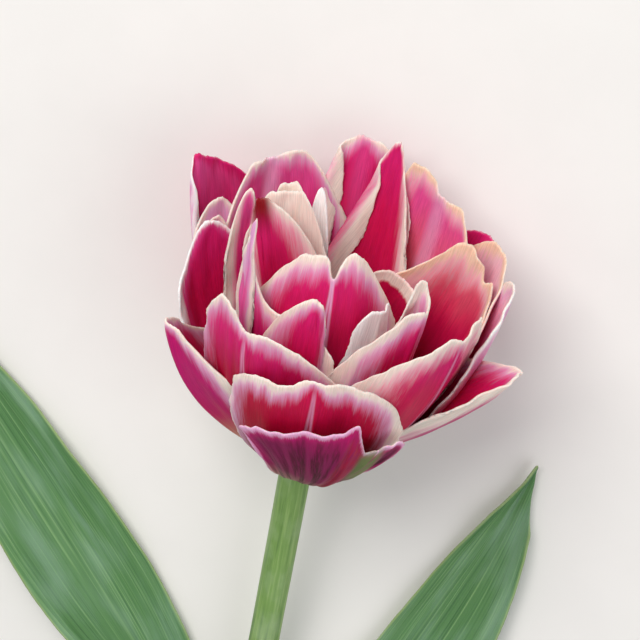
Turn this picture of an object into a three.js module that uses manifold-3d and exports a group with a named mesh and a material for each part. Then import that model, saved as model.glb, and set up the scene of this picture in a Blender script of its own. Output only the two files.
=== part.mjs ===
// A cut double tulip lying on a flat surface: flower head, stem and three leaves.
// Millimetres, +Z up, the surface at z = 0, +Y from the cut end of the stem to the flower.
import * as THREE from "three";
import { mergeVertices } from "three/addons/utils/BufferGeometryUtils.js";
import Module from "manifold-3d";

const wasm = await Module();
wasm.setup();

// Driving dimensions
const PETAL_THICKNESS = 1.0;
const SMALL_PETAL_THICKNESS = 0.8;
const LEAF_THICKNESS = 1.0;
const GAP = 0.45; // between neighbours
const RIM_MARGIN = 0.04; // how far a petal's cutting shape reaches past its rim, as a share of its size
const SLIVER = 0.1; // edges shorter than this are closed up after a cut
const HEAD_TILT = 16; // degrees that the flower's axis rises towards its mouth
const STEM_RADIUS = 4.4;
const STEM_SIDES = 12;
const STEM_STEPS = 26;
const STEM_NECK = 85; // how far the stem keeps the head's own slope before it lies down
const STEM_REST = [-4, -186, 8]; // third control point of the stem's axis
const STEM_END = [6, -300, 4.5];
const SHEATH_RADIUS = 5.5; // from the stem's axis to a leaf's mid thickness where it clasps the stem
const LEAF_AHEAD = 45; // how far a leaf first runs along the stem
const RECEPTACLE = { radius: 6, halfHeight: 4.5, z: -2 };
const PISTIL = { radius: 3.2, height: 25, base: 1.5, stigma: 4.4 };
const STAMEN = { count: 3, length: 24, ring: 4.6, lean: 8, filament: 0.7, anther: 1.2, antherLength: 8 };
const RECEPTACLE_SIDES = 14;
const PISTIL_SIDES = 12;
const STAMEN_SIDES = 6;

const PETAL_ROWS = 6;
const PETAL_COLUMNS = 6;
const SMALL_ROWS = 5;
const SMALL_COLUMNS = 4;
const LEAF_ROWS = 20;
const LEAF_COLUMNS = 8;
const BEND_STEPS = 12; // how finely a blade's bend across its width is added up
const CREASE_WIDTH = 1.5; // the strip beside the midrib in which a crease turns up
const CREASE_START = 0.4; // share of the midrib over which a crease grows from nothing
const CORNER_POWER = 10; // how sharply a petal's upper corners are rounded
const NORMAL_STEP = 0.02;

// Shape values that most petals share. Lengths are in millimetres and angles in degrees.
// foot and rib: radius and height of the midrib's control points, from the receptacle to the tip.
// turn: the petal's direction round the axis. sway: sideways lean of the tip.
// half: half widths left and right of the midrib. body: how the width grows from base to tip.
// top: how far up the petal reaches, across its width. cup and crease: how the two halves bend inwards.
const TOP = [[-1, 0.74], [-0.6, 0.93], [0, 1], [0.6, 0.93], [1, 0.74]];
const BODY = [0.3, 0.72, 0.98, 0.95, 0.7];
const PLAIN_PETAL = {
  foot: [5, 0], sway: 0, half: [20, 20], body: BODY, top: TOP, corner: 0.06,
  cup: [30, 40], side: [1, 1], crease: 0, roll: [0, 0], small: false,
};

// A smooth curve through a few points.
function smooth(points, x) {
  const last = points.length - 1;
  const at = Math.min(Math.max(x, points[0][0]), points[last][0]);
  const slope = (i) => (points[i + 1][1] - points[i][1]) / (points[i + 1][0] - points[i][0]);
  const tangent = (i) => {
    if (i === 0) return slope(0);
    if (i === last) return slope(last - 1);
    const before = slope(i - 1);
    const after = slope(i);
    return before * after <= 0 ? 0 : (before + after) / 2;
  };
  let i = 0;
  while (i < last - 1 && at >= points[i + 1][0]) i += 1;
  const step = points[i + 1][0] - points[i][0];
  const t = (at - points[i][0]) / step;
  return (
    (2 * t ** 3 - 3 * t ** 2 + 1) * points[i][1] + (t ** 3 - 2 * t ** 2 + t) * step * tangent(i) +
    (3 * t ** 2 - 2 * t ** 3) * points[i + 1][1] + (t ** 3 - t ** 2) * step * tangent(i + 1)
  );
}

const radians = THREE.MathUtils.degToRad;

// A smooth curve through values spaced evenly from 0 to 1
const even = (values, s) => smooth(values.map((value, i) => [i / (values.length - 1), value]), s);

// One point of the middle of a blade's thickness: along runs from foot to rim, across from edge to edge.
function bladePoint(blade, along, across) {
  const left = across < 0;
  const reach = Math.abs(across);
  const top = smooth(blade.top, across) - blade.corner * reach ** CORNER_POWER;
  const s = along * top;
  const onRib = Math.min(Math.max(s, 0), 1);
  const centre = blade.curve.getPointAt(onRib);
  const heading = blade.curve.getTangentAt(onRib);
  centre.addScaledVector(heading, (s - onRib) * blade.curve.getLength());
  const sideways = blade.sideways.clone().addScaledVector(heading, -heading.dot(blade.sideways)).normalize();
  const inward = new THREE.Vector3().crossVectors(heading, sideways);
  const roll = radians(even(blade.roll, s));
  const u = sideways.clone().multiplyScalar(Math.cos(roll)).addScaledVector(inward, Math.sin(roll));
  const n = inward.clone().multiplyScalar(Math.cos(roll)).addScaledVector(sideways, -Math.sin(roll));
  const width = blade.half[left ? 0 : 1] * even(blade.body, s);
  const side = blade.side[left ? 0 : 1];
  const crease = radians(blade.crease) * Math.min(Math.max(s, 0) / CREASE_START, 1) * side;
  const cup = radians(even(blade.cup, s)) * side;
  let out = 0;
  let up = 0;
  for (let k = 0; k < BEND_STEPS; k += 1) {
    const f = ((k + 0.5) / BEND_STEPS) * reach;
    const angle = crease * (1 - Math.exp((-f * width) / CREASE_WIDTH)) + cup * f;
    out += (Math.cos(angle) * reach * width) / BEND_STEPS;
    up += (Math.sin(angle) * reach * width) / BEND_STEPS;
  }
  return centre.addScaledVector(u, left ? -out : out).addScaledVector(n, up);
}

// The direction across a blade's thickness, on its inner side
function bladeNormal(blade, along, across) {
  const at = (a, b) => bladePoint(blade, along + a * NORMAL_STEP, across + b * NORMAL_STEP);
  return at(1, 0).sub(at(-1, 0)).cross(at(0, 1).sub(at(0, -1))).normalize();
}

// A closed shell of even thickness round a blade. grow widens it all round, for cutting its neighbours.
function bladeShell(blade, rowCount, columnCount, thickness, grow = 0) {
  const half = thickness / 2 + grow;
  const alongs = Array.from({ length: rowCount + 1 }, (_, i) => i / rowCount);
  const acrosses = Array.from({ length: columnCount + 1 }, (_, j) => -1 + (2 * j) / columnCount);
  if (grow > 0) {
    alongs.unshift(-RIM_MARGIN);
    alongs.push(1 + RIM_MARGIN);
    acrosses.unshift(-1 - RIM_MARGIN);
    acrosses.push(1 + RIM_MARGIN);
  }
  const points = [];
  for (const lift of [half, -half]) {
    for (const along of alongs) {
      for (const across of acrosses) {
        const normal = bladeNormal(blade, along, across);
        points.push(bladePoint(blade, along, across).addScaledVector(normal, lift));
      }
    }
  }
  const rows = alongs.length - 1;
  const columns = acrosses.length - 1;
  const perRow = acrosses.length;
  const perSide = points.length / 2;
  const faces = [];
  const quad = (a, b, c, d) => faces.push(a, b, c, a, c, d);
  for (let i = 0; i < rows; i += 1) {
    for (let j = 0; j < columns; j += 1) {
      const a = i * perRow + j;
      quad(a, a + 1, a + perRow + 1, a + perRow);
      quad(perSide + a, perSide + a + perRow, perSide + a + perRow + 1, perSide + a + 1);
    }
  }
  const rim = [];
  for (let j = 0; j < columns; j += 1) rim.push(j);
  for (let i = 0; i < rows; i += 1) rim.push(i * perRow + columns);
  for (let j = columns; j > 0; j -= 1) rim.push(rows * perRow + j);
  for (let i = rows; i > 0; i -= 1) rim.push(i * perRow);
  rim.forEach((a, k) => {
    const b = rim[(k + 1) % rim.length];
    quad(a, perSide + a, perSide + b, b);
  });
  return new THREE.BufferGeometry().setFromPoints(points).setIndex(faces);
}

// Solids, for cutting one piece clear of another
function solidOf(geometry) {
  const bare = geometry.clone();
  bare.deleteAttribute("normal");
  bare.deleteAttribute("uv");
  const merged = mergeVertices(bare, 1e-4);
  const vertProperties = new Float32Array(merged.attributes.position.array);
  const triVerts = new Uint32Array(merged.index.array);
  const solid = new wasm.Manifold(new wasm.Mesh({ numProp: 3, vertProperties, triVerts }));
  if (solid.volume() > 0) return solid;
  for (let i = 0; i < triVerts.length; i += 3) {
    [triVerts[i + 1], triVerts[i + 2]] = [triVerts[i + 2], triVerts[i + 1]];
  }
  return new wasm.Manifold(new wasm.Mesh({ numProp: 3, vertProperties, triVerts }));
}

// What stays of a cut piece: its largest body, without the slivers of edge that the cuts leave.
function largestBody(solid) {
  const largest = (bodies) => bodies.reduce((best, body) => (body.volume() > best.volume() ? body : best));
  return largest(largest(solid.decompose()).simplify(SLIVER).decompose());
}

function geometryOf(solid) {
  const mesh = solid.getMesh();
  const position = new THREE.BufferAttribute(new Float32Array(mesh.vertProperties), 3);
  const geometry = new THREE.BufferGeometry().setAttribute("position", position);
  geometry.setIndex(new THREE.BufferAttribute(new Uint32Array(mesh.triVerts), 1));
  geometry.computeVertexNormals();
  return geometry;
}

function material(color, roughness) {
  return new THREE.MeshStandardMaterial({ color, roughness, metalness: 0 });
}

const petalMaterial = (color) => material(color, 0.55);
const stemMaterial = material(0x7f9a4a, 0.5);
const leafMaterial = material(0x4f7d4a, 0.5);
const pistilMaterial = material(0xb9c27a, 0.6);
const stamenMaterial = material(0x5a4a3a, 0.7);

// Petals, from the heart of the flower outwards
const PETALS = {
  inner_centre: {
    foot: [4.2, 1], turn: -86, rib: [[10, 4], [20, 28], [12, 72]], half: [24, 21.5],
    top: [
      [-1, 0.72], [-0.75, 0.9], [-0.4, 1], [-0.1, 0.995], [0, 0.93], [0.08, 0.98], [0.3, 1.03],
      [0.65, 0.95], [1, 0.76],
    ],
    cup: [40, 60], color: 0xd0357a,
  },
  inner_pointed: {
    foot: [3.6, 1.2], turn: -90, rib: [[4, 8], [4, 34], [-3, 76]], sway: -21, half: [5, 16.5],
    top: [[-1, 0.8], [0, 1], [0.3, 0.98], [0.7, 0.9], [1, 0.7]], cup: [20, 20], color: 0xd22f62,
  },
  inner_rolled_rim: {
    foot: [4.2, 1], turn: 49, rib: [[9, 20], [16, 40], [15, 58]], sway: -12, half: [13, 10],
    body: [0.3, 0.8, 1, 1, 1], top: [[-1, 0.9], [-0.6, 0.98], [0, 1], [0.6, 0.98], [1, 0.9]],
    cup: [30, 40], small: true, color: 0xe9d3bd,
  },
  inner_cream: {
    foot: [3.4, 1.2], turn: 90, rib: [[2, 6], [6, 36], [10, 75]], sway: 12, half: [9, 15],
    top: [[-1, 0.8], [-0.6, 0.95], [0, 1], [0.6, 1], [1, 0.9]], cup: [20, 30], small: true,
    color: 0xe8d0b8,
  },
  inner_cream_back: {
    foot: [3.4, 1.2], turn: 90, rib: [[2, 6], [8, 36], [13, 75]], sway: 14, half: [7, 7],
    top: [[-1, 0.85], [-0.6, 0.98], [0, 1], [0.6, 0.98], [1, 0.85]], cup: [20, 30], small: true,
    color: 0xecd8c4,
  },
  inner_curled_tip: {
    foot: [3.4, 1.2], turn: 90, rib: [[2, 6], [8, 36], [15, 74]], sway: 6, half: [4, 4], cup: [20, 60],
    small: true, color: 0xefe2d8,
  },
  inner_front_left: {
    foot: [4.2, 1], turn: -95, rib: [[10, 4], [22, 24], [22, 66]], half: [15.5, 4],
    top: [[-1, 0.7], [-0.6, 0.92], [0, 1], [0.6, 0.98], [1, 0.9]], cup: [30, 40], small: true,
    color: 0xcf3a72,
  },
  inner_narrow: {
    foot: [4.2, 1], turn: -150, rib: [[12, 8], [28, 34], [23, 80]], half: [4.5, 4.5],
    body: [0.3, 0.7, 1, 0.9, 0.3], cup: [30, 60], small: true, color: 0xe6b6bb,
  },
  inner_left_back: {
    foot: [4.2, 1], turn: 165, rib: [[10, 4], [26, 30], [24, 76]], half: [4, 6], cup: [30, 40],
    roll: [-30, -60], small: true, color: 0xd98a86,
  },
  inner_small: {
    foot: [4.2, 1], turn: -40, rib: [[10, 6], [18, 28], [19, 60]], half: [9, 6],
    top: [[-1, 0.96], [-0.6, 1], [0, 1], [0.6, 1], [1, 0.95]], cup: [30, 40], small: true,
    color: 0xecd9cf,
  },
  inner_left_tongue: {
    foot: [4.2, 1], turn: -118, rib: [[10, 4], [22, 26], [20, 75]], sway: -12, half: [6, 23],
    top: [[-1, 0.74], [-0.6, 0.92], [-0.2, 1], [0.05, 0.86], [0.15, 0.78], [0.5, 0.74], [1, 0.66]],
    cup: [20, 20], color: 0xd04a86,
  },
  inner_front_right: {
    foot: [4.2, 1], turn: -40, rib: [[14, 4], [28, 24], [32, 69]], half: [19, 9],
    top: [
      [-1, 0.66], [-0.6, 0.88], [-0.1, 1], [0, 0.99], [0.3, 1.03], [0.6, 1.08], [0.85, 1.05],
      [1, 0.93],
    ],
    cup: [35, 50], side: [1, 1.9], crease: 20, color: 0xd8679a,
  },
  back_left: {
    turn: 125, rib: [[16, 4], [32, 26], [35, 71]], half: [23, 19],
    top: [[-1, 0.82], [-0.7, 0.99], [-0.4, 1.02], [0, 1], [0.5, 0.99], [1, 0.8]], cup: [30, 40],
    color: 0xcf5c96,
  },
  back_tall: {
    turn: 70, rib: [[14, 4], [28, 26], [35, 80]], half: [16, 18], body: [0.4, 0.95, 0.85, 0.6, 0.3],
    top: [[-1, 0.7], [-0.6, 0.88], [0, 1], [0.6, 0.88], [1, 0.72]], cup: [30, 40], color: 0xbf1f4e,
  },
  back_centre: {
    turn: 85, rib: [[14, 4], [32, 26], [37, 77]], half: [18, 12],
    top: [[-1, 0.88], [-0.6, 0.97], [0, 1], [0.6, 0.95], [1, 0.84]], cup: [30, 40], color: 0xcc3a6e,
  },
  back_right: {
    turn: 46, rib: [[14, 4], [34, 26], [36, 71]], half: [20, 20],
    top: [[-1, 0.7], [-0.5, 0.99], [0, 0.99], [0.3, 1.035], [0.7, 1.06], [1, 0.88]], cup: [30, 40],
    side: [-0.2, 1], color: 0xd06a94,
  },
  right_round: {
    turn: 12, rib: [[14, 4], [36, 22], [40.5, 62]], half: [14, 25],
    top: [[-1, 0.75], [-0.5, 0.9], [-0.2, 0.97], [0, 0.95], [0.1, 1], [0.5, 1.06], [1, 0.85]],
    cup: [35, 50], side: [2.4, 1], roll: [30, 45], color: 0xd4697c,
  },
  middle_left_fold: {
    turn: 158, rib: [[16, 4], [34, 22], [34, 61]], half: [9, 7], cup: [30, 40], roll: [-30, -40],
    small: true, color: 0xd488b0,
  },
  middle_left_round: {
    turn: 147, rib: [[16, 4], [36, 26], [38, 61]], half: [12, 12], cup: [30, 40], roll: [-20, -30],
    small: true, color: 0xd497b6,
  },
  middle_left: {
    turn: 166, rib: [[15, 4], [28.5, 21], [33.5, 63]], half: [20, 14], body: [0.3, 0.6, 0.9, 1, 0.8],
    top: [[-1, 0.72], [-0.6, 0.85], [0, 1], [0.3, 0.97], [0.6, 0.86], [1, 0.8]], cup: [45, 55],
    roll: [-30, -50], color: 0xa51637,
  },
  middle_front_left: {
    turn: -124, rib: [[16, 4], [30, 22], [32.5, 58]], half: [14, 29], body: [0.3, 0.65, 0.9, 1, 0.95],
    top: [[-1, 1], [-0.6, 1.08], [-0.3, 1.06], [0, 0.98], [0.15, 1], [0.6, 0.9], [1, 0.68]],
    cup: [35, 45], side: [0.1, 1], crease: 15, color: 0xc92e66,
  },
  middle_front_right: {
    turn: -32, rib: [[17, 5], [35, 21.5], [41, 63]], half: [23.5, 17],
    top: [[-1, 0.7], [-0.6, 0.9], [-0.2, 1], [0, 0.99], [0.15, 0.98], [0.6, 1.03], [1, 0.86]],
    cup: [45, 70], side: [1.15, 0.2], crease: 10, color: 0xd25d8d,
  },
  middle_front: {
    turn: -88, rib: [[18, 4], [34, 16], [36, 52]], half: [23.5, 25.5],
    body: [0.35, 0.7, 0.95, 1, 0.95],
    top: [
      [-1, 0.84], [-0.75, 0.9], [-0.4, 0.935], [0, 1.01], [0.3, 1], [0.65, 0.925], [0.85, 0.84],
      [1, 0.68],
    ],
    corner: 0.04, cup: [40, 50], side: [0.9, 0.6], crease: 8, color: 0xcb2c60,
  },
  middle_back_right: {
    turn: 17, rib: [[16, 4], [38, 20], [45, 64.5]], half: [18, 18],
    top: [[-1, 0.74], [-0.6, 0.93], [0, 1], [0.6, 0.98], [1, 0.9]], cup: [30, 40], color: 0xd98aa0,
  },
  middle_right: {
    turn: -2, rib: [[18, 4], [40, 18], [46, 65]], half: [14, 20], cup: [30, 40], color: 0xcf6f9c,
  },
  outer_front: {
    foot: [6, -2], turn: -78.5, rib: [[22, 5], [34, 12], [42, 44]], sway: 5, half: [38.5, 22.5],
    body: [0.15, 0.3, 0.52, 0.82, 1],
    top: [
      [-1, 0.7], [-0.6, 0.78], [-0.25, 0.9], [-0.07, 0.95], [0, 1.02], [0.08, 0.93], [0.3, 0.8],
      [0.7, 0.82], [1, 0.76],
    ],
    cup: [18, 25], crease: 10, color: 0xa81f62,
  },
  outer_left: {
    foot: [6, -2], turn: -152, rib: [[16.5, 7.5], [37, 19.5], [41, 47]], sway: -4, half: [18, 19],
    body: [0.5, 0.95, 1, 0.85, 0.5], cup: [15, 20], side: [1, 0.8], crease: 40, color: 0xb92a68,
  },
  outer_right: {
    foot: [6, -2], turn: -22, rib: [[20, 10.5], [40, 24.5], [54, 52]], sway: 2, half: [10, 20],
    body: [0.6, 0.95, 1, 0.8, 0.4], cup: [20, 20], side: [0.8, 1], crease: 40, color: 0xc44a86,
  },
  outer_back_right: {
    foot: [6, -2], turn: 28, rib: [[20, 3.4], [38, 19], [46.5, 61.5]], half: [15, 20],
    top: [[-1, 0.6], [-0.6, 0.9], [0, 1], [0.6, 0.97], [1, 0.9]], cup: [25, 35], color: 0xc23a78,
  },
  outer_back_left: {
    foot: [6, -2], turn: 148, rib: [[20, 3.4], [38, 19], [46, 71]], half: [22, 6],
    top: [[-1, 0.84], [-0.6, 0.93], [-0.2, 0.98], [0, 1], [0.3, 0.97], [1, 0.7]], cup: [30, 30],
    color: 0xb62763,
  },
  outer_back_low_left: {
    foot: [6, -2], turn: 110, rib: [[20, 2], [40, 14], [41, 58]], half: [20, 14], cup: [30, 40],
    color: 0xc03c74,
  },
  outer_back_low_right: {
    foot: [6, -2], turn: 64, rib: [[20, 2.8], [40, 15], [41, 58]], half: [14, 20], cup: [30, 40],
    color: 0xc03c74,
  },
};

// The midrib is one cubic curve in the plane of the petal's direction, leaning sideways towards the tip.
function petalBlade(values) {
  const shape = { ...PLAIN_PETAL, ...values };
  const turn = radians(shape.turn);
  const outward = new THREE.Vector3(Math.cos(turn), Math.sin(turn), 0);
  const sideways = new THREE.Vector3(-Math.sin(turn), Math.cos(turn), 0);
  const lean = [0, 0, shape.sway * 0.6, shape.sway];
  const points = [shape.foot, ...shape.rib].map(([radius, height], i) =>
    outward.clone().multiplyScalar(radius).addScaledVector(sideways, lean[i]).setZ(height),
  );
  return { ...shape, sideways, curve: new THREE.CubicBezierCurve3(...points) };
}

function petalShell(blade, grow) {
  const rows = blade.small ? SMALL_ROWS : PETAL_ROWS;
  const columns = blade.small ? SMALL_COLUMNS : PETAL_COLUMNS;
  const thickness = blade.small ? SMALL_PETAL_THICKNESS : PETAL_THICKNESS;
  return solidOf(bladeShell(blade, rows, columns, thickness, grow));
}

// A body of revolution about Z. Its profile starts and ends on the axis; grow widens it all round.
function lathe(profile, sides, grow) {
  const points = profile.map(([radius, z], i) => {
    const end = i === 0 ? -grow : i === profile.length - 1 ? grow : 0;
    return new THREE.Vector2(radius === 0 ? 0 : radius + grow, z + end);
  });
  points[1].y -= grow;
  points[points.length - 2].y += grow;
  return new THREE.LatheGeometry(points, sides).rotateX(Math.PI / 2);
}

// The receptacle is an ellipsoid, centred on the flower's axis.
function receptacleGeometry(grow = 0) {
  const steps = 8;
  const profile = [];
  for (let i = 0; i <= steps; i += 1) {
    const angle = -Math.PI / 2 + (Math.PI * i) / steps;
    const radius = i === 0 || i === steps ? 0 : RECEPTACLE.radius * Math.cos(angle);
    profile.push([radius, RECEPTACLE.halfHeight * Math.sin(angle)]);
  }
  return lathe(profile, RECEPTACLE_SIDES, grow).translate(0, 0, RECEPTACLE.z);
}

// Ovary, narrow style and the stigma's three spreading lobes as one body of revolution.
function pistilGeometry(grow = 0) {
  const { radius, height, base, stigma } = PISTIL;
  const profile = [
    [0, 0], [radius * 0.8, 0], [radius, height * 0.3], [radius * 0.85, height * 0.75],
    [radius * 0.7, height * 0.85], [stigma, height * 0.92], [stigma * 0.8, height], [0, height * 0.97],
  ];
  return lathe(profile, PISTIL_SIDES, grow).translate(0, 0, base);
}

function stamenGeometry(index, grow = 0) {
  const { length, ring, lean, filament, anther, antherLength, count } = STAMEN;
  const profile = [
    [0, 0], [filament, 0.5], [filament, length - antherLength], [anther, length - antherLength + 1.5],
    [anther, length - 1.5], [0, length],
  ];
  const turn = (2 * Math.PI * index) / count + Math.PI / 6;
  return lathe(profile, STAMEN_SIDES, grow).rotateX(-radians(lean)).translate(0, ring, 0).rotateZ(turn);
}

// The flower head is built upright about its own axis and then laid down. Each piece is cut clear of the
// space that the pieces further in have taken.
function makeFlower() {
  const flower = new THREE.Group();
  flower.rotation.x = radians(HEAD_TILT - 90);
  let taken = solidOf(receptacleGeometry(GAP));
  const place = (name, solid, finish) => {
    const mesh = new THREE.Mesh(geometryOf(solid), finish);
    mesh.name = name;
    flower.add(mesh);
  };
  place("receptacle", solidOf(receptacleGeometry()), material(0x9aa860, 0.6));
  place("pistil", largestBody(solidOf(pistilGeometry()).subtract(taken)), pistilMaterial);
  taken = taken.add(solidOf(pistilGeometry(GAP)));
  for (let i = 0; i < STAMEN.count; i += 1) {
    place("stamen_" + (i + 1), largestBody(solidOf(stamenGeometry(i)).subtract(taken)), stamenMaterial);
  }
  for (let i = 0; i < STAMEN.count; i += 1) taken = taken.add(solidOf(stamenGeometry(i, GAP)));
  for (const [name, values] of Object.entries(PETALS)) {
    const blade = petalBlade(values);
    const petal = largestBody(petalShell(blade, 0).subtract(taken));
    place("petal_" + name, petal, petalMaterial(values.color));
    taken = taken.add(petalShell(blade, GAP));
  }
  return flower;
}

// The stem leaves the receptacle along the flower's axis and settles near the surface.
function stemCurve(headHeight) {
  const axis = new THREE.Vector3(0, Math.cos(radians(HEAD_TILT)), Math.sin(radians(HEAD_TILT)));
  const start = new THREE.Vector3(0, 0, headHeight).addScaledVector(axis, RECEPTACLE.z);
  const neck = start.clone().addScaledVector(axis, -STEM_NECK);
  const rest = new THREE.Vector3(...STEM_REST);
  return new THREE.CubicBezierCurve3(start, neck, rest, new THREE.Vector3(...STEM_END));
}

function stemGeometry(headHeight, grow = 0) {
  const section = new THREE.Shape();
  for (let i = 0; i < STEM_SIDES; i += 1) {
    const angle = (2 * Math.PI * (i + 0.5)) / STEM_SIDES;
    const radius = (STEM_RADIUS + grow) / Math.cos(Math.PI / STEM_SIDES);
    section[i === 0 ? "moveTo" : "lineTo"](radius * Math.cos(angle), radius * Math.sin(angle));
  }
  section.closePath();
  const extrudePath = stemCurve(headHeight);
  return new THREE.ExtrudeGeometry(section, { steps: STEM_STEPS, extrudePath, bevelEnabled: false });
}

// What the leaves share: rolled round the stem at the base and flat further out. roll is that of a
// left-hand leaf.
const PLAIN_LEAF = {
  top: [[-1, 0.9], [0, 1], [1, 0.9]], corner: 0, crease: 14, body: [0.57, 0.75, 1, 0.8, 0.1],
  cup: [125, 60, 25, 15, 10], roll: [90, 42, 8, 0, 0],
};

// base: where the leaf clasps the stem, as a share of the stem's length from the flower. flank: -1 for a
// left-hand leaf, 1 for a right-hand one. low and tip: the midrib's last two control points.
// upper and lower: half widths of the two halves, named by how they lie at the base.
const LEAVES = {
  leaf_left: { base: 0.49, flank: -1, low: [-62, -52, -4.6], tip: [-112, 18, 4], upper: 21, lower: 15 },
  leaf_right: { base: 0.645, flank: 1, low: [48, -78, -4.6], tip: [66, -4, 4], upper: 20, lower: 14.5 },
  leaf_low: { base: 0.87, flank: -1, low: [-44, -178, -4.6], tip: [-58, -122, 4], upper: 18, lower: 13 },
};

function leafBlade(name, stem) {
  const { base, flank, low, tip, upper, lower } = LEAVES[name];
  const foot = stem.getPointAt(base);
  foot.x += flank * SHEATH_RADIUS;
  const ahead = foot.clone().addScaledVector(stem.getTangentAt(base), -LEAF_AHEAD);
  const ends = [low, tip].map((point) => new THREE.Vector3(...point));
  const curve = new THREE.CubicBezierCurve3(foot, ahead, ...ends);
  const half = flank < 0 ? [lower, upper] : [upper, lower];
  return {
    ...PLAIN_LEAF, curve, half, side: half.map((width) => width / upper),
    roll: PLAIN_LEAF.roll.map((angle) => -flank * angle), sideways: new THREE.Vector3(-1, 0, 0),
  };
}

const lowest = (object) => new THREE.Box3().setFromObject(object, true).min.z;

function makeTulip() {
  const tulip = new THREE.Group();
  const flower = makeFlower();
  const headHeight = -lowest(flower);
  flower.position.z = headHeight;
  tulip.add(flower);
  flower.updateMatrixWorld(true);
  const receptacle = solidOf(receptacleGeometry(GAP).applyMatrix4(flower.matrixWorld));
  const stemSolid = solidOf(stemGeometry(headHeight)).subtract(receptacle);
  const stem = new THREE.Mesh(geometryOf(stemSolid), stemMaterial);
  stem.name = "stem";
  tulip.add(stem);
  const stemCutter = solidOf(stemGeometry(headHeight, GAP));
  for (const name of Object.keys(LEAVES)) {
    const blade = leafBlade(name, stemCurve(headHeight));
    const shell = solidOf(bladeShell(blade, LEAF_ROWS, LEAF_COLUMNS, LEAF_THICKNESS));
    const leaf = new THREE.Mesh(geometryOf(largestBody(shell.subtract(stemCutter))), leafMaterial);
    leaf.name = name;
    tulip.add(leaf);
  }
  const box = new THREE.Box3().setFromObject(tulip, true);
  tulip.position.set(-(box.min.x + box.max.x) / 2, -(box.min.y + box.max.y) / 2, 0);
  return tulip;
}

export default makeTulip();
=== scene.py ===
import math
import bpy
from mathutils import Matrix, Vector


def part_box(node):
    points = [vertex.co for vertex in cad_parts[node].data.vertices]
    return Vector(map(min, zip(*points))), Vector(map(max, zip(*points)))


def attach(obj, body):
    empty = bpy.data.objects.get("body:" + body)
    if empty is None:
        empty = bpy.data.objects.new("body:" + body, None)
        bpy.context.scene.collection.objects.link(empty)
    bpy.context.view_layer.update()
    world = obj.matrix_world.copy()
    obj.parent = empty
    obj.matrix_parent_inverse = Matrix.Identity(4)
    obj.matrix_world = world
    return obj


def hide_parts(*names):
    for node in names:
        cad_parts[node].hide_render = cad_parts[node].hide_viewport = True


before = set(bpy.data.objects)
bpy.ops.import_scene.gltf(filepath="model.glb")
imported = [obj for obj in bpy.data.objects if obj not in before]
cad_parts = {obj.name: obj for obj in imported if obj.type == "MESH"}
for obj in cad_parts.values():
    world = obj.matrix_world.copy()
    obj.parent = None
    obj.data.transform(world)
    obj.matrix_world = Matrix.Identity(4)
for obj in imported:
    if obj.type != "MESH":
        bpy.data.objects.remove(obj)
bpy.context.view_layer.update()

from types import SimpleNamespace

import bpy
import numpy as np
from mathutils import Matrix, Vector

# A cut double tulip lying on a pale surface: flower head, stem and three leaves.
# Sizes are in millimetres and angles in degrees; points turn into metres when a mesh is made.

MM = 0.001
HEAD_TILT = 16  # how far the flower's axis rises towards its mouth
RECEPTACLE = dict(radius=6, half_height=4.5, z=-2)
PISTIL = dict(radius=3.2, height=25, base=1.5, stigma=4.4)
STAMEN = dict(count=3, length=24, ring=4.6, lean=8, filament=0.7, anther=1.2, anther_length=8)

PETAL_THICKNESS = 0.65
PETAL_FOOT_THICKNESS = 1.2
THICK_FOOT = 0.5  # the share of the length over which a petal thins from its foot
LEAF_THICKNESS = 0.85
LOWEST = 0.05  # nothing of the stem or leaves comes nearer to the surface than this
RIM_TAPER = 0.7  # the strip along a rim where a petal or leaf thins to an edge

CREASE_GROWN = 0.4  # the share of the length where a crease reaches its full angle
CREASE_WIDTH = 1.5  # how far from the midrib it turns
HEM_TURN = 168  # how far a folded rim turns back
HEM_BEND = 2.4  # the strip over which it does so
HEM_LIMIT = 0.55  # the widest fold, as a share of the blade's half width there
HEM_LEAST = 0.05  # a narrower fold is left flat
KEEL_GROWN = 1 / 3  # the share of the length where a keel reaches its full height
KEEL_MARGIN = 6  # how far from the rim it does so
BEND_STEPS = 24
RIB_STEPS = 600

# Waves of the rims: lengths of a coarse and a fine one, and the fine one's strength
TOP_WAVES = (9, 2.1, 0.6)
SIDE_WAVES = (11, 2.3, 0.5)
LEFT_SHIFTS = (31, 17)  # keep the left rim's waves unlike the right one's
FLUTE_WAVE = 13
RUFFLE_REACH = 6  # how far in from the rim a ruffle shows
WAVE_OCTAVES = 2
CORNER_POWER = 10  # how closely the cut of a top's corner keeps to the side
SIDE_POWER = 6  # and the waves of the side rims

# Seeds of the random waves: the first of each kind, and the step from one piece to the next
SEEDS = dict(petal=7, leaf=500, stem=900)
SEED_STEP = 10

STEM_RADIUS = 4.4
STEM_NECK = 85
STEM_REST = (-4, -186, 8)
STEM_END = (6, -300, 4.5)
STEM_START = 3.4  # from the curve's first point to the receptacle's underside
STEM_HOLLOW = 1.3  # how deep the stem's top is hollowed to fit the receptacle
STEM_DOME = 0.15  # how far the cut face bulges
STEM_RIDGES = ((9, 0.05, 0), (5, 0.04, 1))  # number round it, depth, first angle in radians
STEM_SWELL = (0.012, 60)  # how much the thickness wavers, and over what length
CUT_RINGS = (0.94, 0.8, 0.62, 0.42, 0.2)  # rings that close in on the axis at both ends
SHEATH_RADIUS = 5.5
LEAF_AHEAD = 45  # how far a leaf follows the stem before it turns away

# The camera, in the flower's own frame: its axis is +Z and the photograph's right is +X
CAMERA_RISE = 38
CAMERA_ROLL = 10
CAMERA_DISTANCE = 600
CAMERA_AIM = (-0.6, 0, 43.5)
PIXELS_PER_MM = 3.9
PICTURE_WIDTH = 640
SENSOR_WIDTH = 36

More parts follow.
